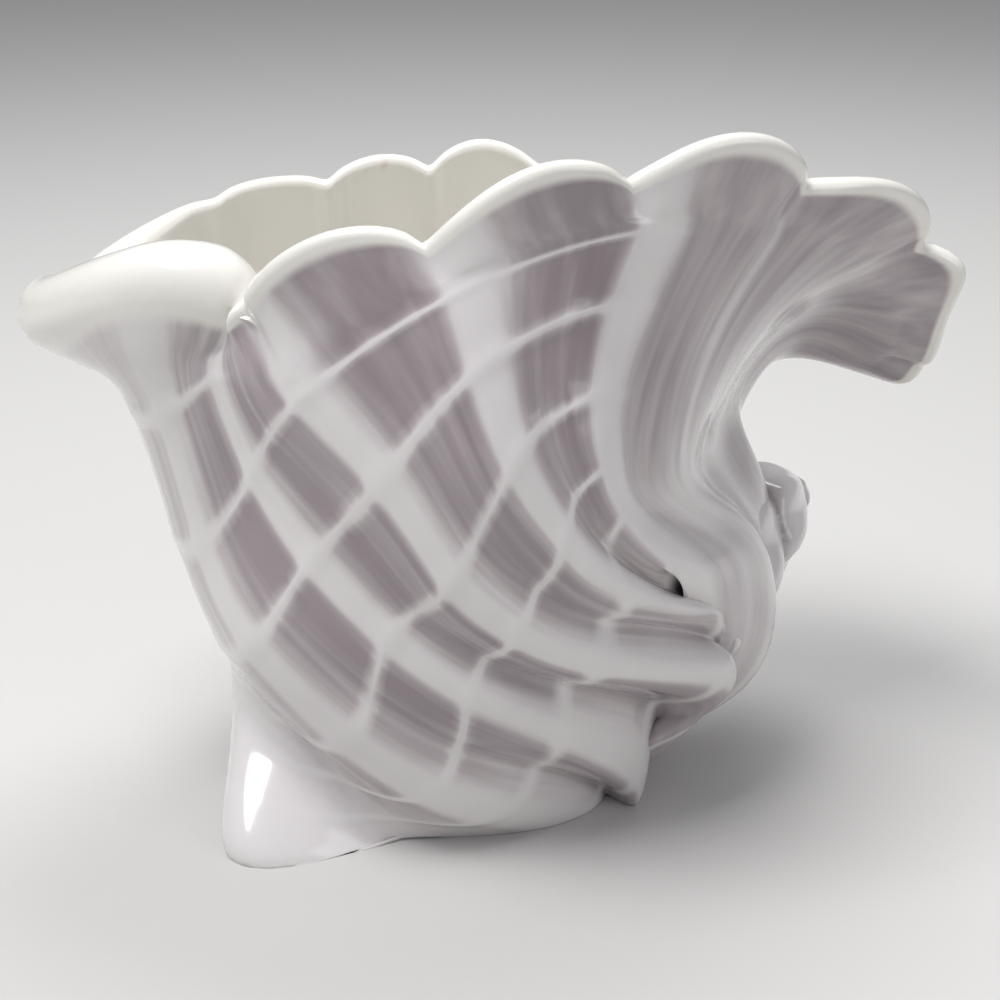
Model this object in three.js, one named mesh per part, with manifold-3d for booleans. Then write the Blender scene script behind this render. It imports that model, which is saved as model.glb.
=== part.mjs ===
// Conch-shaped ceramic planter: one hollow, open-mouthed shell with a scalloped rim,
// a rolled pouring lip, a flared wing and a knobbed spire. Millimetres, +Z up, the
// origin on the table under the middle of the shell.
//
// The shell is a horn. Sixteen ribs run round it, each from the rim to a knob at the
// shoulder, and a bicubic spline through them gives the plain horn. Lobes at the rim,
// creases and ridges along the ribs and thin growth rings are added along its normal.
import * as THREE from "three";
import Module from "manifold-3d";

const wasm = await Module();
wasm.setup();
const { Manifold, Mesh } = wasm;

// ---------------------------------------------------------------- driving dimensions
const WALL = 5.6; // thickness of the cast wall
const SPARE = 2; // how far the hollow that trims the spire reaches into the wall
const RIM_BEAD = 0.5; // how far the rounded rim swells past the wall on each side
const LIP_ROLL = 19; // how much thicker the wall is in the rolled pouring lip
const LIP_REACH = 2.6; // stations over which that thickness fades out
const CREASE_DEPTH = 3.2; // rib creases pressed in near the rim
const RIDGE_HEIGHT = 10; // rib ridges raised at the shoulder
// Where the shoulder fills out (or draws in) round the front right knobs, and how widely
const SWELLS = [
  { height: 9, rib: 2.6, ribs: 0.5, station: 8.4, stations: 0.9 },
  { height: 7, rib: 3.4, ribs: 0.25, station: 8.4, stations: 0.7 },
  { height: 8, rib: 1.9, ribs: 0.6, station: 9.5, stations: 0.7 },
  { height: -7, rib: 5.55, ribs: 0.28, station: 8.2, stations: 1 },
];
const RING_HEIGHT = 0.9; // growth rings, which run parallel to the rim
const RING_WIDTH = 0.13; // in stations along a rib
const RING_STARTS = [5.3, 3.5, 2.7, 2.7, 2.7, 3]; // rib coordinate where each ring fades in
const LOBE_REACH = 3.2; // stations over which a rim lobe fades out
const LOBE_FLARE = 0.35; // outward share of a lobe's growth
const SHOULDER_POLE = [22, -6, -5]; // where the shell closes, below the table plane that cuts it flat
const BASE_DEPTH = -4; // the same for what lies under the shoulder
const FLOOR_POLE = [10, -4, 24]; // lowest point of the hollow
const SPIRE = {
  root: [44, -2, 64],
  apex: [111, 64, 78],
  radius: 39,
  turns: 3.3,
  knobs: 7,
  knobRadius: 4.5,
};

// Facets of the model
const SPLINE_PASSES = 14;
const FRAME_STEP = 0.02; // along u and v, over which the surface's directions are measured
const SAMPLES_PER_RIB = 6;
const OUTER_ROWS = 25;
const INNER_ROWS = 10;
const RIM_ROWS = 4;
const SPIRE_AROUND = 36;
const SPIRE_ROWS = 24;

// Stations of a rib: 0 rim, 1 hollow under the lip, 2 to 7 the growth rings, 8 knob,
// 9 and 10 under the shoulder, 11 the closing pole. Only the lip has ring 2.
const FIRST_RING = 2;
const LAST_RING = 7;
const KNOB = 8;

// Each rib's path gives the rim, rings 3 to 7 and the knob; ribs of the rolled lip also
// give stations 1 and 2. under gives the two stations below the shoulder where the shell
// bulges on the spire's side. lobe is how far the rim rises between this rib and the next,
// and skew moves the top of that lobe towards the next rib (over 1) or this one (under 1).
const RIBS = {
  wingTip: {
    lobe: 9, skew: 4,
    path: [
      [140, 30, 134], [124, 31, 139], [106, 28, 148], [90, 26, 142], [82, 26, 128],
      [82, 28, 115], [86, 30, 98],
    ],
    under: [[90, 34, 66], [66, 22, 24]],
  },
  wing: {
    lobe: 10.5, skew: 1.1,
    path: [
      [133, 8, 181], [114, 2, 175], [96, 0, 168], [81, 2, 151], [72, 2, 133], [72, 2, 118],
      [84, 6, 96],
    ],
    under: [[90, 10, 62], [66, 6, 20]],
  },
  frontRight: {
    lobe: 14, skew: 0.9,
    path: [
      [89, -29, 209], [79, -33, 195], [66, -40, 176], [57, -46, 154], [54, -46, 134],
      [60, -38, 118], [80, -12, 93],
    ],
    under: [[85, -8, 62], [66, -6, 26]],
  },
  frontPeak: {
    lobe: 12, skew: 0.75,
    path: [
      [37, -59, 217], [39, -59, 206], [32, -64, 187], [26, -72, 163], [28, -76, 143],
      [34, -70, 126], [46, -57, 105],
    ],
    under: [[58, -40, 84], [64, -20, 40]],
  },
  frontMiddle: {
    lobe: 13, skew: 0.6,
    path: [
      [-20, -71, 203], [-14, -74, 192], [-8, -80, 172], [2, -84, 145], [17, -80, 121],
      [35, -70, 102], [64, -40, 79],
    ],
    under: [[66, -22, 60], [56, -16, 22]],
  },
  lipRoot: {
    path: [
      [-72, -56, 181], [-69, -57, 176], [-65, -61, 168], [-58, -66, 158], [-35, -76, 137],
      [-15, -80, 108], [3, -76, 90], [28, -64, 74], [68, -38, 55],
    ],
    under: [[66, -28, 38], [50, -16, 8]],
  },
  lipFront: {
    path: [
      [-78, -50, 177], [-82, -46, 168], [-84, -47, 159], [-74, -50, 129], [-57, -62, 106],
      [-34, -70, 84], [-10, -70, 65], [17, -60, 47], [43, -34, 15],
    ],
    under: [[42, -24, -2], [34, -14, -4]],
  },
  lipSide: {
    path: [
      [-109, -44, 181], [-108, -40, 163], [-103, -34, 142], [-95, -32, 98], [-79, -48, 70],
      [-50, -60, 44], [-26, -60, 26], [-6, -52, 13], [15, -38, 1],
    ],
  },
  lipTip: {
    path: [
      [-142, -8, 155], [-130, -4, 148], [-120, 0, 136], [-110, 4, 91], [-98, -2, 57],
      [-88, -14, 41], [-84, -28, 28], [-83, -46, 14], [-79, -60, 0],
    ],
  },
  lipBack: {
    lobe: 0.5,
    path: [
      [-134, 24, 166], [-126, 29, 157], [-119, 32, 146], [-112, 34, 110], [-102, 34, 80],
      [-92, 30, 54], [-84, 22, 36], [-79, 8, 16], [-74, -8, 1],
    ],
  },
  backOuter: {
    lobe: 1,
    path: [
      [-96, 46, 188], [-94, 52, 144], [-88, 54, 102], [-80, 50, 68], [-72, 42, 40],
      [-66, 30, 18], [-60, 16, 1],
    ],
  },
  backLeft: {
    lobe: 5,
    path: [
      [-59, 57, 192], [-58, 66, 146], [-54, 68, 104], [-50, 66, 70], [-46, 58, 44],
      [-42, 44, 20], [-36, 30, 1],
    ],
  },
  backMiddle: {
    lobe: 5.5,
    path: [
      [-24, 62, 196], [-22, 74, 152], [-20, 78, 110], [-18, 74, 74], [-16, 66, 46],
      [-14, 52, 22], [-12, 38, 1],
    ],
  },
  backRight: {
    lobe: 4,
    path: [
      [14, 64, 196], [18, 76, 156], [20, 80, 116], [20, 76, 80], [18, 66, 50], [16, 50, 24],
      [12, 38, 1],
    ],
  },
  wingBack: {
    lobe: 4,
    path: [
      [62, 70, 172], [56, 74, 140], [50, 74, 110], [46, 70, 82], [42, 60, 54], [38, 46, 30],
      [32, 32, 2],
    ],
  },
  wingUnder: {
    lobe: 3,
    path: [
      [108, 60, 138], [90, 56, 134], [80, 54, 122], [76, 50, 104], [72, 44, 84], [66, 34, 62],
      [56, 24, 28],
    ],
    under: [[50, 14, 6], [38, 6, -4]],
  },
};

// ---------------------------------------------------------------- small helpers
const vec = (p) => new THREE.Vector3(...p);
const mod = (i, n) => ((i % n) + n) % n;
const range = (n) => Array.from({ length: n }, (_, i) => i);

function smooth(x, a, b) {
  const t = THREE.MathUtils.clamp((x - a) / (b - a), 0, 1);
  return t * t * (3 - 2 * t);
}

// ---------------------------------------------------------------- the spline net
/** All stations of one rib: stations 1 and 2 are added where the rib is straight. */
function stations({ path, under }) {
  const rib = path.map(vec);
  if (rib.length === 7) {
    rib.splice(1, 0, rib[0].clone().lerp(rib[1], 0.3), rib[0].clone().lerp(rib[1], 0.64));
  }
  const knob = rib[KNOB];
  const pole = vec(SHOULDER_POLE);
  const below = under?.map(vec) ?? [0.22, 0.6].map((t) => knob.clone().lerp(pole, t).setZ(BASE_DEPTH));
  return [...rib, ...below, pole];
}

const lobes = Object.values(RIBS).map(({ lobe = 0, skew = 1 }) => ({ height: lobe, skew }));
const net = Object.values(RIBS).map(stations);
const RIB_COUNT = net.length;
const END = net[0].length - 1;

/** One net point; ribs wrap round, and stations run straight on past both ends. */
function at(points, rib, row) {
  const line = points[mod(rib, RIB_COUNT)];
  if (row < 0) return line[0].clone().multiplyScalar(2).sub(line[1]);
  if (row > END) return line[END].clone().multiplyScalar(2).sub(line[END - 1]);
  return line[row];
}

/** Turns points to pass through into control points of a uniform cubic B-spline. */
function controls(points, neighbour) {
  let result = points.map((line) => line.map((p) => p.clone()));
  for (let pass = 0; pass < SPLINE_PASSES; pass++) {
    result = result.map((line, i) =>
      line.map((q, j) => {
        const [before, after] = neighbour(result, i, j);
        const seen = before.clone().add(after).addScaledVector(q, 4).divideScalar(6);
        return q.clone().add(points[i][j]).sub(seen);
      }));
  }
  return result;
}

const around = controls(net, (p, i, j) => [at(p, i - 1, j), at(p, i + 1, j)]);
const spline = controls(around, (p, i, j) => [at(p, i, j - 1), at(p, i, j + 1)]);

/** Weights of the four control points that a uniform cubic B-spline blends. */
function weights(f) {
  return [(1 - f) ** 3, 3 * f ** 3 - 6 * f ** 2 + 4, -3 * f ** 3 + 3 * f ** 2 + 3 * f + 1, f ** 3]
    .map((w) => w / 6);
}

/** The plain horn at rib coordinate u and station v. */
function horn(u, v) {
  const i = Math.floor(u);
  const j = THREE.MathUtils.clamp(Math.floor(v), 0, END - 1);
  const wu = weights(u - i);
  const wv = weights(v - j);
  const point = new THREE.Vector3();
  for (const a of range(4)) {
    for (const b of range(4)) point.addScaledVector(at(spline, i + a - 1, j + b - 1), wu[a] * wv[b]);
  }
  return point;
}

/** The outward normal and the direction down the rib. */
function frame(u, v) {
  const down = horn(u, v + FRAME_STEP).sub(horn(u, v - FRAME_STEP)).normalize();
  const along = horn(u + FRAME_STEP, v).sub(horn(u - FRAME_STEP, v));
  return { out: along.cross(down).normalize(), down };
}

// ---------------------------------------------------------------- relief
/** 1 on the ribs of the rolled lip, 0 elsewhere. */
const lipShare = (u) => smooth(u, 5.1, 6.4) * (1 - smooth(u, 8.6, 10));

/** 1 on the smooth column under the wing, 0 elsewhere. */
const neckShare = (u, v) => (1 - smooth(u, 1.1, 1.8) + smooth(u, 13.8, 14.8)) * smooth(v, 3, 4.5);

/** 1 on the smooth foot at the low end of the lip's tip, 0 elsewhere. */
const footShare = (u, v) => Math.exp(-(((u - 8.1) / 0.8) ** 2)) * smooth(v, 4, 5);

/** How far the rim lobes carry the surface at (u, v) from the plain horn. */
function lobe(u, v) {
  const i = mod(Math.floor(u), RIB_COUNT);
  const f = u - Math.floor(u);
  const dome = Math.sqrt(Math.sin(Math.PI * f ** lobes[i].skew) ** 2 + 0.003) - Math.sqrt(0.003);
  const reach = lobes[i].height * dome * Math.max(1 - v / LOBE_REACH, 0) ** 2;
  const { out, down } = frame(u, 0);
  return down.multiplyScalar(-0.95).addScaledVector(out, LOBE_FLARE).multiplyScalar(reach);
}

/** Creases near the rim, which turn into ridges and knobs towards the shoulder. */
function ribRelief(u, v) {
  const crease = CREASE_DEPTH * (1 - smooth(v, 0.5, 4)) * (1 - lipShare(u));
  const low = smooth(v, 3.5, KNOB) * (1 - smooth(v, KNOB + 0.4, KNOB + 2));
  const ridge = RIDGE_HEIGHT * low * (0.35 + 0.65 * smooth(u, 2.8, 4));
  const narrow = Math.exp(-((Math.sin(Math.PI * u) / 0.35) ** 2)) - 0.3;
  const wide = Math.sqrt(Math.cos(Math.PI * u) ** 2 + 0.01) - 0.62;
  const swells = SWELLS.map(({ height, rib, ribs, station, stations }) =>
    height * Math.exp(-(((u - rib) / ribs) ** 2) - ((v - station) / stations) ** 2));
  return swells.reduce((sum, h) => sum + h, (ridge * wide - crease * narrow) * (1 - neckShare(u, v)));
}

/** Thin raised rings, which fade in at their first rib and out at the wing and the foot. */
function ringRelief(u, v) {
  const nearest = THREE.MathUtils.clamp(Math.round(v), FIRST_RING, LAST_RING);
  const start = RING_STARTS[nearest - FIRST_RING];
  const last = nearest === FIRST_RING ? 8.6 : 13.9;
  const extent = smooth(u, start, start + 0.9) * (1 - smooth(u, last, last + 0.9));
  return RING_HEIGHT * Math.exp(-(((v - nearest) / RING_WIDTH) ** 2)) * extent * (1 - footShare(u, v));
}

const outer = (u, v) =>
  horn(u, v).add(lobe(u, v)).addScaledVector(frame(u, v).out, ribRelief(u, v) + ringRelief(u, v));

/**
 * The inside face: a wall's depth in from the outside, more in the rolled lip, with no
 * rings, closed to a floor. spare moves it back towards the outside.
 */
function inner(u, v, spare = 0) {
  const row = Math.min(v, LAST_RING);
  const depth = WALL + LIP_ROLL * lipShare(u) * (1 - smooth(row, 0, LIP_REACH)) - spare;
  const face = horn(u, row).add(lobe(u, row))
    .addScaledVector(frame(u, row).out, Math.min(ribRelief(u, row), 1) - depth);
  return face.lerp(vec(FLOOR_POLE), Math.sin((Math.PI / 2) * THREE.MathUtils.clamp(v - LAST_RING, 0, 1)));
}

/** The rounded rim, from the outside (t = 0) over the top to the inside (t = 1). */
function rim(u, t) {
  const { down } = frame(u, 0);
  const a = outer(u, 0);
  const b = inner(u, 0);
  const half = a.clone().sub(b).divideScalar(2);
  const radius = half.length();
  const swell = 1 + (RIM_BEAD / radius) * Math.sin(Math.PI * t);
  return a.lerp(b, 0.5).addScaledVector(half, Math.cos(Math.PI * t) * swell)
    .addScaledVector(down, -Math.sin(Math.PI * t) * radius * swell);
}

// ---------------------------------------------------------------- solids
/** A closed solid from rows of points that run round, with a pole before and after. */
function solidOfRows(rows, firstPole, lastPole) {
  const n = rows[0].length;
  const points = [firstPole, ...rows.flat(), lastPole];
  const last = points.length - 1;
  const faces = [];
  for (const i of range(n)) {
    const j = (i + 1) % n;
    faces.push(0, 1 + i, 1 + j);
    for (const r of range(rows.length - 1)) {
      const a = 1 + r * n;
      const b = a + n;
      faces.push(a + i, b + i, b + j, a + i, b + j, a + j);
    }
    const a = 1 + (rows.length - 1) * n;
    faces.push(a + i, last, a + j);
  }
  const mesh = new Mesh({
    numProp: 3,
    vertProperties: Float32Array.from(points.flatMap((p) => p.toArray())),
    triVerts: Uint32Array.from(faces),
  });
  mesh.merge();
  const solid = new Manifold(mesh);
  if (solid.volume() > 0) return solid;
  for (let k = 0; k < faces.length; k += 3) [faces[k + 1], faces[k + 2]] = [faces[k + 2], faces[k + 1]];
  return new Manifold(new Mesh({ numProp: 3, vertProperties: mesh.vertProperties, triVerts: Uint32Array.from(faces) }));
}

const turn = range(RIB_COUNT * SAMPLES_PER_RIB).map((i) => i / SAMPLES_PER_RIB);
const rowOf = (place) => turn.map(place);

/** The shell: up the inside from the floor, over the rim and down the outside. */
function shell() {
  const inside = range(INNER_ROWS).map((k) => (LAST_RING + 0.75) * (1 - k / INNER_ROWS));
  const over = range(RIM_ROWS).map((k) => 1 - (k + 0.5) / RIM_ROWS);
  const outside = range(OUTER_ROWS).map((k) => (END - 0.15) * (k / (OUTER_ROWS - 1)));
  return solidOfRows([
    ...inside.map((v) => rowOf((u) => inner(u, v))),
    rowOf((u) => inner(u, 0)),
    ...over.map((t) => rowOf((u) => rim(u, t))),
    ...outside.map((v) => rowOf((u) => outer(u, v))),
  ], vec(FLOOR_POLE), vec(SHOULDER_POLE));
}

/** A little more than the hollow, to trim what would reach into it through the wall. */
function hollow() {
  const rows = range(INNER_ROWS).map((k) => 2 + (LAST_RING - 1.25) * (k / (INNER_ROWS - 1)));
  const top = new THREE.Vector3();
  const mouth = rowOf((u) => inner(u, rows[0], SPARE));
  mouth.forEach((p) => top.addScaledVector(p, 1 / mouth.length));
  return solidOfRows([mouth, ...rows.slice(1).map((v) => rowOf((u) => inner(u, v, SPARE)))],
    top, vec(FLOOR_POLE));
}

/** The spire: a cone about a leaning axis, stepped into a spiral of knobbed whorls. */
function spire() {
  const root = vec(SPIRE.root);
  const axis = vec(SPIRE.apex).sub(root);
  const length = axis.length();
  axis.normalize();
  const side = axis.clone().cross(new THREE.Vector3(0, 0, 1)).normalize();
  const up = side.clone().cross(axis);
  const rows = range(SPIRE_ROWS).map((k) => {
    const s = (k + 0.5) / SPIRE_ROWS;
    return range(SPIRE_AROUND).map((i) => {
      const phi = (2 * Math.PI * i) / SPIRE_AROUND;
      const turned = SPIRE.turns * s - i / SPIRE_AROUND;
      const bulge = Math.max(Math.sin(Math.PI * (turned - Math.floor(turned)) ** 0.8), 0) ** 0.6;
      const cone = SPIRE.radius * (1 - s) ** 0.55 * Math.min(s / 0.06, 1) ** 0.5;
      const whorl = cone * (0.8 + 0.24 * bulge + 0.06 * Math.cos(SPIRE.knobs * phi + 0.6) * bulge);
      const tip = SPIRE.knobRadius * Math.sqrt(Math.max(1 - ((s - 0.965) / 0.035) ** 2, 0));
      const radius = Math.max(whorl, tip);
      return root.clone().addScaledVector(axis, length * s)
        .addScaledVector(side, radius * Math.cos(phi)).addScaledVector(up, radius * Math.sin(phi));
    });
  });
  return solidOfRows(rows, root, vec(SPIRE.apex));
}

// ---------------------------------------------------------------- the part
/** A solid as a mesh with flat facets. */
function meshOf(name, solid, material) {
  const { numProp, vertProperties, triVerts } = solid.getMesh();
  const geometry = new THREE.BufferGeometry();
  const positions = Float32Array.from([...triVerts].flatMap((t) =>
    [0, 1, 2].map((c) => vertProperties[t * numProp + c])));
  geometry.setAttribute("position", new THREE.BufferAttribute(positions, 3));
  geometry.computeVertexNormals();
  const mesh = new THREE.Mesh(geometry, material);
  mesh.name = name;
  return mesh;
}

const glaze = new THREE.MeshStandardMaterial({ color: 0xcfc0bd, roughness: 0.12, metalness: 0 });

/** The solid moved sideways so that the middle of its box is over the origin. */
function centred(solid) {
  const { min, max } = solid.boundingBox();
  return solid.translate([-(min[0] + max[0]) / 2, -(min[1] + max[1]) / 2, 0]);
}

// The spire joins the shell from outside, and the table plane gives the flat base.
const body = centred(shell().add(spire().subtract(hollow())).trimByPlane([0, 0, 1], 0));

const conch = new THREE.Group();
conch.name = "conch_planter";
conch.add(meshOf("shell", body, glaze));

export default conch;
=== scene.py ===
"""Looks of a glazed ceramic planter shaped like a conch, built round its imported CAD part.

The shell is a horn: sixteen ribs run round it from the scalloped rim to the shoulder, and
a bicubic spline through them is the plain surface. Rim lobes, rib creases, ridges and thin
growth rings are added along its normal, and every vertex carries what the glaze needs.
Lengths in the tables are millimetres; meshes are metres.
"""

import logging
from dataclasses import dataclass, field
from enum import Enum
from typing import Any, Sequence

import bpy
import numpy as np
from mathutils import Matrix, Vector


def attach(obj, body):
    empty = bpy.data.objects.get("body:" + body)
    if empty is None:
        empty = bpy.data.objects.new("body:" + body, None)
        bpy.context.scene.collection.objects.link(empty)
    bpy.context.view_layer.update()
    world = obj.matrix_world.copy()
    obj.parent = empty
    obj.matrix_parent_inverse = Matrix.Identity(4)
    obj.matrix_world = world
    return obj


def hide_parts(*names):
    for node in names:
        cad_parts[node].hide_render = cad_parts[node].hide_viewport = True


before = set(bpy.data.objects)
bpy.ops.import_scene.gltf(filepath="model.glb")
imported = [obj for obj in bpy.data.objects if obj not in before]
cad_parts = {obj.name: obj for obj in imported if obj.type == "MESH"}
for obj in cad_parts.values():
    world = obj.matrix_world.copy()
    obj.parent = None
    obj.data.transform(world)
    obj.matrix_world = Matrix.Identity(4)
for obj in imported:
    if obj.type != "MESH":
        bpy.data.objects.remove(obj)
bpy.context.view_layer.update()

log = logging.getLogger("conch")

Array = np.ndarray
Triple = tuple[float, float, float]
MM = 0.001

# the cast wall and its rim
WALL = 5.6
RIM_BEAD = 0.5
LIP_ROLL = 19.0
LIP_REACH = 2.6

# relief, in millimetres; reaches and widths in stations along a rib
LOBE_REACH = 3.2
LOBE_FLARE = 0.35
CREASE_DEPTH = 3.2
RIDGE_HEIGHT = 10.0
RING_HEIGHT = 0.6
RING_WIDTH = 0.13

# where the shoulder fills out or draws in: height, rib coordinate and half width, station
# and half width
SWELLS = (
    (9.0, 2.6, 0.5, 8.4, 0.9),
    (7.0, 3.4, 0.25, 8.4, 0.7),
    (8.0, 1.9, 0.6, 9.5, 0.7),
    (-7.0, 5.55, 0.28, 8.2, 1.0),
)

# where the hollow and the shell close
FLOOR_POLE = (10, -4, 24)
SHOULDER_POLE = (22, -6, -5)
BASE_DEPTH = -4

# Stations of a rib: 0 rim, 1 hollow under the lip, 2 to 7 the growth rings, 8 knob,
# 9 and 10 under the shoulder, 11 the closing pole. Only the lip has ring 2.
FIRST_RING, LAST_RING, KNOB, END = 2, 7, 8, 11
RING_STARTS = (5.3, 3.5, 2.7, 2.7, 2.7, 3.0)  # rib coordinate where each ring fades in

# the spline through the ribs, and how far apart its directions are measured
SPLINE_PASSES = 14
FRAME_STEP = 0.02

# how far the solid that trims the spire reaches into the wall
SPARE = 2.0

# rows and columns of the shell's grid
AROUND, FLOOR_ROWS, WALL_ROWS, RIM_ROWS, OUTSIDE_ROWS, UNDER_ROWS = 480, 12, 28, 11, 134, 18

# the view: degrees above the table, metres from the eye to the target, lens in millimetres
ELEVATION, DISTANCE, TARGET_HEIGHT, LENS = 24, 0.56, 0.1, 61.2

# how deep the glaze pools at rib coordinates, below and above the third ring
POOL_LOW = ((0, 6.2, 7, 8, 9, 10.5, 16), (1, 1, 0.6, 0.35, 0.35, 0.75, 0.75))
POOL_HIGH = ((0, 4.6, 5.4, 7, 9, 10.5, 16), (0.9, 0.9, 0.7, 0.25, 0.2, 0.7, 0.75))


# ---------------------------------------------------------------- the horn's ribs
@dataclass(frozen=True)
class Rib:
    """One rib of the horn.

    Args:
        path: rim, five rings and knob; ribs of the rolled lip add stations 1 and 2.
        under: the two stations below the shoulder, where the shell bulges there.
        lobe: how far the rim rises between this rib and the next.
        skew: over 1 moves the top of that lobe to the next rib, under 1 to this one.
    """

    path: Sequence[Triple]
    under: Sequence[Triple] | None = None
    lobe: float = 0.0
    skew: float = 1.0

    def stations(self) -> Array:
        """Returns all twelve stations; straight runs get stations 1 and 2 here."""
        rib = np.array(self.path, float)
        if len(rib) == 7:
            run = rib[1] - rib[0]
            rib = np.vstack([rib[:1], rib[0] + 0.3 * run, rib[0] + 0.64 * run, rib[1:]])
        pole = np.array(SHOULDER_POLE, float)
        below = self.under
        if below is None:
            below = [[*(rib[KNOB] + (pole - rib[KNOB]) * t)[:2], BASE_DEPTH] for t in (0.22, 0.6)]
        return np.vstack([rib, below, pole])


RIBS: dict[str, Rib] = {
    "wing_tip": Rib(
        ((140, 30, 134), (124, 31, 139), (106, 28, 148), (90, 26, 142), (82, 26, 128),
         (82, 28, 115), (86, 30, 98)),
        under=((90, 34, 66), (66, 22, 24)), lobe=9, skew=4,
    ),
    "wing": Rib(
        ((133, 8, 181), (114, 2, 175), (96, 0, 168), (81, 2, 151), (72, 2, 133), (72, 2, 118),
         (84, 6, 96)),
        under=((90, 10, 62), (66, 6, 20)), lobe=10.5, skew=1.1,
    ),
    "front_right": Rib(
        ((89, -29, 209), (79, -33, 195), (66, -40, 176), (57, -46, 154), (54, -46, 134),
         (60, -38, 118), (80, -12, 93)),
        under=((85, -8, 62), (66, -6, 26)), lobe=14, skew=0.9,
    ),
    "front_peak": Rib(
        ((37, -59, 217), (39, -59, 206), (32, -64, 187), (26, -72, 163), (28, -76, 143),
         (34, -70, 126), (46, -57, 105)),
        under=((58, -40, 84), (64, -20, 40)), lobe=12, skew=0.75,
    ),
    "front_middle": Rib(
        ((-20, -71, 203), (-14, -74, 192), (-8, -80, 172), (2, -84, 145), (17, -80, 121),
         (35, -70, 102), (64, -40, 79)),
        under=((66, -22, 60), (56, -16, 22)), lobe=13, skew=0.6,
    ),
    "lip_root": Rib(
        ((-72, -56, 181), (-69, -57, 176), (-65, -61, 168), (-58, -66, 158), (-35, -76, 137),
         (-15, -80, 108), (3, -76, 90), (28, -64, 74), (68, -38, 55)),
        under=((66, -28, 38), (50, -16, 8)),
    ),
    "lip_front": Rib(
        ((-78, -50, 177), (-82, -46, 168), (-84, -47, 159), (-74, -50, 129), (-57, -62, 106),
         (-34, -70, 84), (-10, -70, 65), (17, -60, 47), (43, -34, 15)),
        under=((42, -24, -2), (34, -14, -4)),
    ),
    "lip_side": Rib(
        ((-109, -44, 181), (-108, -40, 163), (-103, -34, 142), (-95, -32, 98), (-79, -48, 70),
         (-50, -60, 44), (-26, -60, 26), (-6, -52, 13), (15, -38, 1)),
    ),
    "lip_tip": Rib(
        ((-142, -8, 155), (-130, -4, 148), (-120, 0, 136), (-110, 4, 91), (-98, -2, 57),
         (-88, -14, 41), (-84, -28, 28), (-83, -46, 14), (-79, -60, 0)),
    ),
    "lip_back": Rib(
        ((-134, 24, 166), (-126, 29, 157), (-119, 32, 146), (-112, 34, 110), (-102, 34, 80),
         (-92, 30, 54), (-84, 22, 36), (-79, 8, 16), (-74, -8, 1)),
        lobe=0.5,
    ),
    "back_outer": Rib(
        ((-96, 46, 188), (-94, 52, 144), (-88, 54, 102), (-80, 50, 68), (-72, 42, 40),
         (-66, 30, 18), (-60, 16, 1)),
        lobe=1,
    ),
    "back_left": Rib(
        ((-59, 57, 192), (-58, 66, 146), (-54, 68, 104), (-50, 66, 70), (-46, 58, 44),
         (-42, 44, 20), (-36, 30, 1)),
        lobe=5,
    ),
    "back_middle": Rib(
        ((-24, 62, 196), (-22, 74, 152), (-20, 78, 110), (-18, 74, 74), (-16, 66, 46),
         (-14, 52, 22), (-12, 38, 1)),
        lobe=5.5,
    ),
    "back_right": Rib(
        ((14, 64, 196), (18, 76, 156), (20, 80, 116), (20, 76, 80), (18, 66, 50),
         (16, 50, 24), (12, 38, 1)),
        lobe=4,
    ),
    "wing_back": Rib(
        ((62, 70, 172), (56, 74, 140), (50, 74, 110), (46, 70, 82), (42, 60, 54),
         (38, 46, 30), (32, 32, 2)),
        lobe=4,
    ),
    "wing_under": Rib(
        ((108, 60, 138), (90, 56, 134), (80, 54, 122), (76, 50, 104), (72, 44, 84),
         (66, 34, 62), (56, 24, 28)),
        under=((50, 14, 6), (38, 6, -4)), lobe=3,
    ),
}

# ---------------------------------------------------------------- spline and relief
def smooth(x: Array, a: float, b: float) -> Array:
    """Returns the smooth step of x from 0 at a to 1 at b."""
    t = np.clip((x - a) / (b - a), 0, 1)
    return t * t * (3 - 2 * t)


def controls(points: Array, axis: int, closed: bool) -> Array:
    """Turns points to pass through into control points of a uniform cubic B-spline.

    Each pass adds what the blend (before + 4 * here + after) / 6 still misses.
    """
    target = np.moveaxis(points, axis, 0)
    result = target.copy()
    for _ in range(SPLINE_PASSES):
        if closed:
            before, after = np.roll(result, 1, 0), np.roll(result, -1, 0)
        else:
            before = np.concatenate([2 * result[:1] - result[1:2], result[:-1]])
            after = np.concatenate([result[1:], 2 * result[-1:] - result[-2:-1]])
        result = result + target - (before + 4 * result + after) / 6
    return np.moveaxis(result, 0, axis)


def weights(t: Array) -> Array:
    """Returns the four B-spline weights of each fraction t, on a last axis."""
    w = [(1 - t) ** 3, 3 * t**3 - 6 * t**2 + 4, -3 * t**3 + 3 * t**2 + 3 * t + 1, t**3]
    return np.stack(w, -1) / 6


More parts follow.
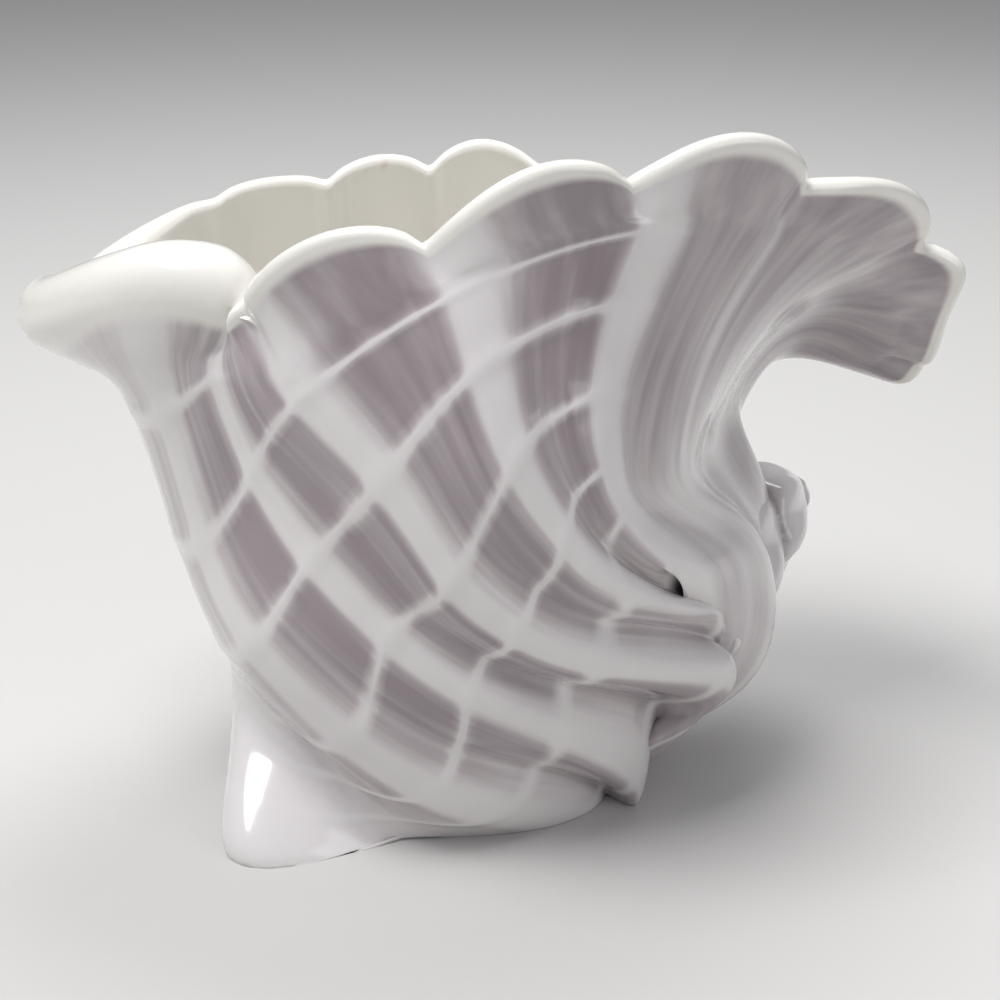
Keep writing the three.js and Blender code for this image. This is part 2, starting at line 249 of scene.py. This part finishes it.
@dataclass
class Horn:
    """The plain horn through the ribs, and the relief that the glaze lies on."""

    ribs: Sequence[Rib]
    net: Array = field(init=False)

    def __post_init__(self) -> None:
        net = np.array([rib.stations() for rib in self.ribs])
        net = controls(controls(net, 0, closed=True), 1, closed=False)
        first = 2 * net[:, :1] - net[:, 1:2]
        last = 2 * net[:, -1:] - net[:, -2:-1]
        self.net = np.concatenate([first, net, last], 1)

    def plain(self, u: Array, v: Array) -> Array:
        """Returns horn points: control points around and along, blended by B-spline
        weights of the fractions of rib coordinate u and station v.
        """
        i = np.floor(u).astype(int)
        j = np.clip(np.floor(v).astype(int), 0, END - 1)
        wu, wv = weights(u - i), weights(v - j)
        around = sum(
            wu[:, a, None, None] * self.net[(i + a - 1) % len(self.ribs)] for a in range(4)
        )
        return sum(wv[None, :, b, None] * around[:, j + b] for b in range(4))

    def frame(self, u: Array, v: Array) -> tuple[Array, Array]:
        """Returns the outward normal and the direction down the rib."""
        down = self.plain(u, v + FRAME_STEP) - self.plain(u, v - FRAME_STEP)
        along = self.plain(u + FRAME_STEP, v) - self.plain(u - FRAME_STEP, v)
        out = np.cross(along, down)
        return unit(out), unit(down)

    def lobes(self, u: Array, v: Array) -> Array:
        """Returns the growth of the rim lobes: domes between ribs, fading down the rib."""
        i = np.floor(u).astype(int) % len(self.ribs)
        height = np.array([rib.lobe for rib in self.ribs])[i]
        skew = np.array([rib.skew for rib in self.ribs])[i]
        arch = np.sin(np.pi * (u - np.floor(u)) ** skew)
        dome = np.sqrt(arch**2 + 0.003) - np.sqrt(0.003)
        reach = (height * dome)[:, None] * np.maximum(1 - v / LOBE_REACH, 0)[None, :] ** 2
        out, down = self.frame(u, np.zeros(1))
        return reach[..., None] * (LOBE_FLARE * out - 0.95 * down)

    def lip(self, u: Array) -> Array:
        """Returns 1 on the ribs of the rolled lip, 0 elsewhere."""
        return smooth(u, 5.1, 6.4) * (1 - smooth(u, 8.6, 10))

    def neck(self, u: Array, v: Array) -> Array:
        """Returns 1 on the smooth column under the wing, 0 elsewhere."""
        column = 1 - smooth(u, 1.1, 1.8) + smooth(u, 13.8, 14.8)
        return column[:, None] * smooth(v, 3, 4.5)[None, :]

    def foot(self, u: Array, v: Array) -> Array:
        """Returns 1 on the smooth foot at the low end of the lip's tip, 0 elsewhere."""
        return np.exp(-(((u - 8.1) / 0.8) ** 2))[:, None] * smooth(v, 4, 5)[None, :]

    def rib_relief(self, u: Array, v: Array) -> Array:
        """Returns creases near the rim, which turn into ridges and knobs lower down."""
        crease = CREASE_DEPTH * (1 - smooth(v, 0.5, 4))[None, :] * (1 - self.lip(u))[:, None]
        low = smooth(v, 3.5, KNOB) * (1 - smooth(v, KNOB + 0.4, KNOB + 2))
        ridge = RIDGE_HEIGHT * (0.35 + 0.65 * smooth(u, 2.8, 4))[:, None] * low[None, :]
        narrow = np.exp(-((np.sin(np.pi * u) / 0.35) ** 2)) - 0.3
        wide = np.sqrt(np.cos(np.pi * u) ** 2 + 0.01) - 0.62
        relief = wide[:, None] * ridge - crease * narrow[:, None]
        relief = relief * (1 - self.neck(u, v))
        for height, rib, ribs, station, stations in SWELLS:
            around, along = (u - rib) / ribs, (v - station) / stations
            relief = relief + height * np.exp(-(around[:, None] ** 2) - along[None, :] ** 2)
        return relief

    def rings(self, u: Array, v: Array) -> Array:
        """Returns how strongly each point is on a growth ring, 0 to 1: a bell curve about
        each ring's station, which fades in at its first rib and out at the wing and foot.
        """
        nearest = np.clip(np.round(v), FIRST_RING, LAST_RING).astype(int)
        bell = np.exp(-(((v - nearest) / RING_WIDTH) ** 2))
        start = np.array(RING_STARTS)[nearest - FIRST_RING][None, :]
        around = u[:, None]
        last = np.where(nearest == FIRST_RING, 8.6, 13.9)[None, :]
        extent = smooth(around, start, start + 0.9) * (1 - smooth(around, last, last + 0.9))
        return bell[None, :] * extent * (1 - self.foot(u, v))

    def pool(self, u: Array, v: Array) -> Array:
        """Returns how much mauve glaze has pooled at each point of the outside, 0 to 1.

        Every cell between two ribs and two rings has a pool beside its first rib, which
        thins out before the next rib and before both rings. Above the third ring a pool
        runs on as a petal up to the rim. The column under the wing is one broad pool with
        white breaks, which thins out downwards.
        """
        part = u % 1
        across = (smooth(part, -0.04, 0.14) * (1 - 0.95 * smooth(part, 0.42, 0.84)))[:, None]
        step = v % 1
        between = smooth(step, 0.0, 0.15) * (1 - smooth(step, 0.86, 1.0))
        ringed = smooth(u, 2.5, 3.2)[:, None] * smooth(v, 2.7, 2.9)[None, :]
        lip_ring = smooth(u, 5.3, 6.2)[:, None] * smooth(v, 1.7, 1.9)[None, :]
        along = 1 - (1 - between)[None, :] * np.maximum(ringed, lip_ring)
        low = np.interp(u, *POOL_LOW)[:, None]
        high = np.interp(u, *POOL_HIGH)[:, None]
        share = high + (low - high) * smooth(v, 1.5, 3)[None, :]
        share = share * (1 - 0.45 * smooth(v, 6, 7.5))[None, :] * (1 - 0.8 * self.foot(u, v))
        cells = across * along * share
        column = (1 - smooth(u, 2.5, 2.72) + smooth(u, 14.2, 15))[:, None]
        breaks = np.exp(-(((u - 2.02) / 0.07) ** 2)) + 0.8 * np.exp(-(((u - 1.05) / 0.12) ** 2))
        breaks = breaks[:, None] * smooth(v, 0.8, 2)[None, :]
        broad = (0.72 - 0.5 * smooth(v, 4.5, 7))[None, :] * (1 - 0.75 * breaks)
        return column * broad + (1 - column) * cells

    def outer(self, u: Array, v: Array) -> Array:
        """Returns the outside: the plain horn with lobes, ribs and rings."""
        out, _ = self.frame(u, v)
        relief = self.rib_relief(u, v) + RING_HEIGHT * self.rings(u, v)
        return self.plain(u, v) + self.lobes(u, v) + relief[..., None] * out

    def inner(self, u: Array, v: Array, spare: float = 0) -> Array:
        """Returns the inside: a wall's depth in, with no rings, drawn in to the floor. The
        wall is thicker in the rolled lip.
        """
        row = np.minimum(v, LAST_RING)
        out, _ = self.frame(u, row)
        depth = WALL + LIP_ROLL * self.lip(u)[:, None] * (1 - smooth(row, 0, LIP_REACH))
        relief = np.minimum(self.rib_relief(u, row), 1) - depth + spare
        face = self.plain(u, row) + self.lobes(u, row) + relief[..., None] * out
        share = np.sin(np.pi / 2 * np.clip(v - LAST_RING, 0, 1))[None, :, None]
        return face + share * (np.array(FLOOR_POLE) - face)

    def rim(self, u: Array, t: Array) -> Array:
        """Returns the rounded rim: a half circle from outside (t = 0) to inside (t = 1)."""
        start = np.zeros(1)
        _, down = self.frame(u, start)
        outside, inside = self.outer(u, start), self.inner(u, start)
        half = (outside - inside) / 2
        radius = np.linalg.norm(half, axis=-1, keepdims=True)
        swell = 1 + RIM_BEAD / radius * np.sin(np.pi * t)[None, :, None]
        angle = np.pi * t[None, :, None]
        across = np.cos(angle) * half - np.sin(angle) * down * radius
        return (outside + inside) / 2 + swell * across


def unit(vectors: Array) -> Array:
    """Returns the vectors at length 1."""
    return vectors / (np.linalg.norm(vectors, axis=-1, keepdims=True) + 1e-9)


# ---------------------------------------------------------------- meshes
@dataclass
class Sheet:
    """Rows of points that run round, closed by a pole before the first and after the last.

    Args:
        rows: points, around by along by three.
        poles: the two closing points.
        marks: named values per point, around by along, with or without components.
    """

    rows: Array
    poles: tuple[Sequence[float], Sequence[float]]
    marks: dict[str, Array]

    def build(self, name: str) -> bpy.types.Object:
        """Returns a smooth mesh object, faces outward, with the marks as attributes."""
        n, m = self.rows.shape[:2]
        points = np.vstack([self.rows.reshape(-1, 3), self.poles])
        i, j = np.meshgrid(np.arange(n), np.arange(m - 1), indexing="ij")
        a, b = i * m + j, (i + 1) % n * m + j
        quads = np.stack([a, a + 1, b + 1, b], -1).reshape(-1, 4)
        ring = np.arange(n)
        after = (ring + 1) % n
        first = np.stack([ring * m, after * m, np.full(n, n * m)], -1)
        last = np.stack([after * m + m - 1, ring * m + m - 1, np.full(n, n * m + 1)], -1)
        faces = [*quads.tolist(), *first.tolist(), *last.tolist()]
        mesh = bpy.data.meshes.new(name)
        mesh.from_pydata((points * MM).tolist(), [], faces)
        for key, values in self.marks.items():
            flat = values.reshape(n * m, -1)
            ends = [flat[::m].mean(0), flat[m - 1 :: m].mean(0)]
            data = np.vstack([flat, ends]).astype(np.float32)
            single = data.shape[1] == 1
            kind, slot = ("FLOAT", "value") if single else ("FLOAT_VECTOR", "vector")
            mesh.attributes.new(key, kind, "POINT").data.foreach_set(slot, data.ravel())
        mesh.shade_smooth()
        mesh.validate()
        obj = bpy.data.objects.new(name, mesh)
        bpy.context.scene.collection.objects.link(obj)
        return obj


def shell_sheet(horn: Horn) -> Sheet:
    """Returns the shell: up the inside from the floor, over the rim, down the outside."""
    n = len(horn.ribs)
    u = np.arange(AROUND) * n / AROUND
    v_in = np.concatenate([np.linspace(LAST_RING + 0.98, LAST_RING, FLOOR_ROWS, endpoint=False),
                           np.linspace(LAST_RING, 0, WALL_ROWS)])
    t = 1 - (np.arange(RIM_ROWS) + 1) / (RIM_ROWS + 1)
    shoulder = KNOB + 0.6
    v_out = np.concatenate([np.linspace(0, shoulder, OUTSIDE_ROWS, endpoint=False),
                            np.linspace(shoulder, END - 0.05, UNDER_ROWS)])
    rows = np.concatenate([horn.inner(u, v_in), horn.rim(u, t), horn.outer(u, v_out)], 1)
    rows[..., 2] = np.maximum(rows[..., 2], 0)
    station = np.concatenate([v_in, np.zeros(RIM_ROWS), v_out])
    inside = np.concatenate([np.ones(len(v_in)), t, np.zeros(len(v_out))])
    grid = np.ones((AROUND, 1))
    angle = (2 * np.pi * u / n)[:, None] * np.ones((1, len(station)))
    marks = {
        "station": grid * station,
        "inside": grid * inside,
        "pool": horn.pool(u, station),
        "flow": np.stack([np.cos(angle), np.sin(angle), grid * station / END], -1),
    }
    return Sheet(rows, (FLOOR_POLE, (*SHOULDER_POLE[:2], 0)), marks)


@dataclass(frozen=True)
class Spire:
    """A cone about a leaning axis, stepped into a spiral of knobbed whorls."""

    root: Triple = (44, -2, 64)
    apex: Triple = (111, 64, 78)
    radius: float = 39.0
    turns: float = 3.3
    knobs: int = 7
    tip_radius: float = 4.5

    def sheet(self) -> Sheet:
        """Returns the spire: radius = cone * (0.8 + bulge of the whorl + knobs), where the
        bulge is a sine of the place between two sutures, and the sutures spiral with phi.
        """
        n, m = 240, 160
        phi = (np.arange(n) * 2 * np.pi / n)[:, None]
        s = ((np.arange(m) + 0.5) / m)[None, :]
        axis = np.subtract(self.apex, self.root)
        length = np.linalg.norm(axis)
        axis = axis / length
        side = unit(np.cross(axis, (0, 0, 1)))
        up = np.cross(side, axis)
        turned = self.turns * s - phi / (2 * np.pi)
        place = turned - np.floor(turned)
        bulge = np.maximum(np.sin(np.pi * place**0.8), 0) ** 0.6
        cone = self.radius * (1 - s) ** 0.55 * np.minimum(s / 0.06, 1) ** 0.5
        radius = cone * (0.8 + 0.24 * bulge + 0.06 * np.cos(self.knobs * phi + 0.6) * bulge)
        tip = self.tip_radius * np.sqrt(np.maximum(1 - ((s - 0.965) / 0.035) ** 2, 0))
        radius = np.maximum(radius, tip)[..., None]
        turn = np.cos(phi)[..., None] * side + np.sin(phi)[..., None] * up
        rows = np.array(self.root) + length * s[..., None] * axis + radius * turn
        marks = {
            "station": np.full((n, m), 6.5),
            "inside": np.zeros((n, m)),
            "pool": 0.45 * (1 - bulge),
            "flow": np.stack(
                [np.cos(phi) * (1 - s), np.sin(phi) * (1 - s), s * np.ones((n, 1))], -1
            ),
        }
        return Sheet(rows, (self.root, self.apex), marks)


def hollow_sheet(horn: Horn) -> Sheet:
    """Returns a little more than the hollow, to trim what would reach into it."""
    u = np.arange(160) * len(horn.ribs) / 160
    v = np.concatenate([np.linspace(4, LAST_RING, 16, endpoint=False),
                        np.linspace(LAST_RING, LAST_RING + 0.97, 10)])
    rows = horn.inner(u, v, spare=SPARE)[:, ::-1]
    return Sheet(rows, (FLOOR_POLE, rows[:, -1].mean(0)), {})


def trim(piece: bpy.types.Object, hollow: bpy.types.Object) -> None:
    """Cuts the hollow out of the piece, and deletes the hollow."""
    cut = piece.modifiers.new("trim", "BOOLEAN")
    cut.operation, cut.solver, cut.use_self, cut.object = "DIFFERENCE", "EXACT", True, hollow
    bpy.context.view_layer.objects.active = piece
    bpy.ops.object.modifier_apply(modifier=cut.name)
    bpy.data.objects.remove(hollow)


# ---------------------------------------------------------------- shader expressions
class Wire:
    """A socket that takes part in Python expressions: each operator adds a Math node."""

    def __init__(self, graph: "Graph", socket: bpy.types.NodeSocket) -> None:
        self.graph, self.socket = graph, socket

    def _math(self, operation: str, *values: Any) -> "Wire":
        return self.graph.node("ShaderNodeMath", {"operation": operation}, dict(enumerate(values)))

    def __add__(self, other: Any) -> "Wire":
        return self._math("ADD", self, other)

    def __mul__(self, other: Any) -> "Wire":
        return self._math("MULTIPLY", self, other)

    def __sub__(self, other: Any) -> "Wire":
        return self._math("SUBTRACT", self, other)

    def __rsub__(self, other: Any) -> "Wire":
        return self._math("SUBTRACT", other, self)

    __radd__, __rmul__ = __add__, __mul__

    def ramp(self, low: float, high: float) -> "Wire":
        """Returns a clamped smooth step of the value, from 0 at low to 1 at high."""
        settings = {"interpolation_type": "SMOOTHSTEP"}
        inputs = {"Value": self, "From Min": low, "From Max": high}
        return self.graph.node("ShaderNodeMapRange", settings, inputs)


class Graph:
    """One material's node tree."""

    def __init__(self, name: str) -> None:
        self.material = bpy.data.materials.new(name)
        self.material.use_nodes = True
        self.tree = self.material.node_tree
        self.shader = self.tree.nodes["Principled BSDF"]

    def node(
        self,
        kind: str,
        settings: dict[str, Any] | None = None,
        inputs: dict[Any, Any] | None = None,
        output: Any = 0,
    ) -> Wire:
        """Adds a node: settings first, then input values or links.

        Returns:
            The chosen output as a wire.
        """
        node = self.tree.nodes.new(kind)
        for key, value in (settings or {}).items():
            setattr(node, key, value)
        for key, value in (inputs or {}).items():
            self.feed(node.inputs[key], value)
        return Wire(self, node.outputs[output])

    def feed(self, socket: bpy.types.NodeSocket, value: Any) -> None:
        """Links a wire to the socket, or sets its value."""
        if isinstance(value, Wire):
            self.tree.links.new(value.socket, socket)
        elif isinstance(value, (tuple, list)) and socket.type == "RGBA" and len(value) == 3:
            socket.default_value = (*value, 1)
        else:
            socket.default_value = value

    def mark(self, name: str, output: str = "Fac") -> Wire:
        """Returns a vertex attribute."""
        return self.node("ShaderNodeAttribute", {"attribute_name": name}, output=output)

    def mix(self, share: Any, a: Any, b: Any) -> Wire:
        """Returns colour a turning into colour b as share goes from 0 to 1."""
        return self.node("ShaderNodeMix", {"data_type": "RGBA"}, {0: share, 6: a, 7: b}, 2)

    def noise(self, place: Wire, scale: float, detail: float = 3, distortion: float = 0) -> Wire:
        """Returns fractal noise, about 0.5."""
        inputs = {"Vector": place, "Scale": scale, "Detail": detail, "Distortion": distortion}
        return self.node("ShaderNodeTexNoise", {}, inputs)

    def stretched(self, place: Wire, scale: Triple) -> Wire:
        """Returns the place scaled by different amounts along its axes."""
        return self.node("ShaderNodeVectorMath", {"operation": "MULTIPLY"}, {0: place, 1: scale})


@dataclass(frozen=True)
class Glaze:
    """Glossy ceramic glaze: white, with mauve-grey pools that streak out along the ribs."""

    name: str = "glaze"
    white: Triple = (0.74, 0.71, 0.71)
    cream: Triple = (0.84, 0.82, 0.77)
    lilac: Triple = (0.49, 0.44, 0.45)
    mauve: Triple = (0.29, 0.245, 0.26)
    tan: Triple = (0.50, 0.33, 0.20)
    roughness: float = 0.16
    coat: float = 0.5
    coat_roughness: float = 0.05

    def build(self) -> bpy.types.Material:
        """Returns the material."""
        g = Graph(self.name)
        station, inside, pool = g.mark("station"), g.mark("inside"), g.mark("pool")
        flow = g.mark("flow", "Vector")
        place = g.node("ShaderNodeTexCoord", output="Object")
        streaks = g.noise(g.stretched(flow, (19, 19, 4)), 1.0, 2.5, 0.15)
        cloud = g.noise(place, 24, 3)
        # streaks thin the pools and break their edges; clouds vary their depth
        depth = pool * 0.9 + (streaks - 0.45) * 1.3 * pool.ramp(0, 0.5) + (cloud - 0.4) * 0.35
        base = g.mix(depth.ramp(0.0, 0.55), self.white, self.lilac)
        base = g.mix(depth.ramp(0.35, 1.15), base, self.mauve)
        # painted highlight: for a few millimetres under the rim the outside turns to the brighter
        # cream, standing in for light on the rim's top edge
        painted_rim_highlight = 1 - (station + (cloud - 0.5) * 0.2).ramp(0.08, 0.42)
        base = g.mix(painted_rim_highlight, base, self.cream)
        base = g.mix(inside.ramp(0.0, 0.3), base, self.cream)
        stain = g.noise(place, 60, 2).ramp(0.74, 0.80) * cloud.ramp(0.55, 0.7)
        base = g.mix(stain * 0.5, base, self.tan)
        g.feed(g.shader.inputs["Base Color"], base)
        shade = g.shader.inputs
        shade["Roughness"].default_value = self.roughness
        shade["Coat Weight"].default_value = self.coat
        shade["Coat Roughness"].default_value = self.coat_roughness
        ripple = g.noise(place, 70, 2)
        bump = g.node("ShaderNodeBump", {}, {"Strength": 0.04, "Distance": 0.002, "Height": ripple})
        g.feed(g.shader.inputs["Normal"], bump)
        return g.material


# ---------------------------------------------------------------- studio
class Corner(Enum):
    """Where a light stands, as a direction from the object, and how strong and wide it is."""

    KEY = ((-0.5, -0.3, 1.3), 19.0, 0.7)
    FILL = ((1.2, -0.8, 0.7), 4.0, 0.9)
    TOP = ((0.2, 0.5, 1.2), 9.0, 0.7)


def studio() -> None:
    """Adds the pale floor, soft lights and an even pale world."""
    bpy.ops.mesh.primitive_plane_add(size=12)
    floor = bpy.context.object
    floor.name = "floor"
    paper = Graph("paper")
    paper.feed(paper.shader.inputs["Base Color"], (0.62, 0.61, 0.60))
    paper.shader.inputs["Roughness"].default_value = 0.7
    floor.data.materials.append(paper.material)
    for corner in Corner:
        place, power, size = corner.value
        data = bpy.data.lights.new(corner.name.lower(), "AREA")
        data.energy, data.size = power, size
        lamp = bpy.data.objects.new(corner.name.lower(), data)
        lamp.location = Vector(place) * 1.1
        lamp.rotation_euler = (-lamp.location).to_track_quat("-Z", "Y").to_euler()
        bpy.context.scene.collection.objects.link(lamp)
    world = bpy.data.worlds.new("soft")
    world.use_nodes = True
    world.node_tree.nodes["Background"].inputs[0].default_value = (0.75, 0.77, 0.8, 1)
    world.node_tree.nodes["Background"].inputs[1].default_value = 0.38
    bpy.context.scene.world = world
    bpy.context.scene.view_settings.view_transform = "Standard"


def camera(axis: Sequence[float]) -> None:
    """Adds the camera: close, a quarter of a right angle above the table, a longish lens.

    Args:
        axis: where the horn's own origin lies on the table.
    """
    elevation = np.radians(ELEVATION)
    target = Vector((axis[0], axis[1], TARGET_HEIGHT))
    back = Vector((0, -np.cos(elevation), np.sin(elevation)))
    data = bpy.data.cameras.new("camera")
    data.lens = LENS
    eye = bpy.data.objects.new("camera", data)
    eye.location = target + back * DISTANCE
    eye.rotation_euler = (-back).to_track_quat("-Z", "Y").to_euler()
    bpy.context.scene.collection.objects.link(eye)
    bpy.context.scene.camera = eye


def centred(pieces: Sequence[bpy.types.Object]) -> Array:
    """Moves the pieces' vertices so that their common box is centred over the origin.

    Returns:
        Where the old origin is now.
    """
    clouds = []
    for piece in pieces:
        points = np.empty(len(piece.data.vertices) * 3, np.float32)
        piece.data.vertices.foreach_get("co", points)
        clouds.append(points.reshape(-1, 3))
    everything = np.vstack(clouds)
    shift = (everything.min(0) + everything.max(0)) / 2 * (1, 1, 0)
    for piece, points in zip(pieces, clouds):
        piece.data.vertices.foreach_set("co", (points - shift).ravel())
        piece.data.update()
    return -shift


def main() -> None:
    """Builds the conch and its studio."""
    logging.basicConfig(level=logging.INFO)
    horn = Horn(tuple(RIBS.values()))
    shell = shell_sheet(horn).build("conch_shell")
    spire = Spire().sheet().build("conch_spire")
    trim(spire, hollow_sheet(horn).build("hollow"))
    axis = centred((shell, spire))
    glaze = Glaze().build()
    for piece in (shell, spire):
        piece.data.materials.append(glaze)
        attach(piece, "root")
        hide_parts("shell")
        log.info("%s has %d vertices", piece.name, len(piece.data.vertices))
    studio()
    camera(axis)


if __name__ == "__main__":
    main()
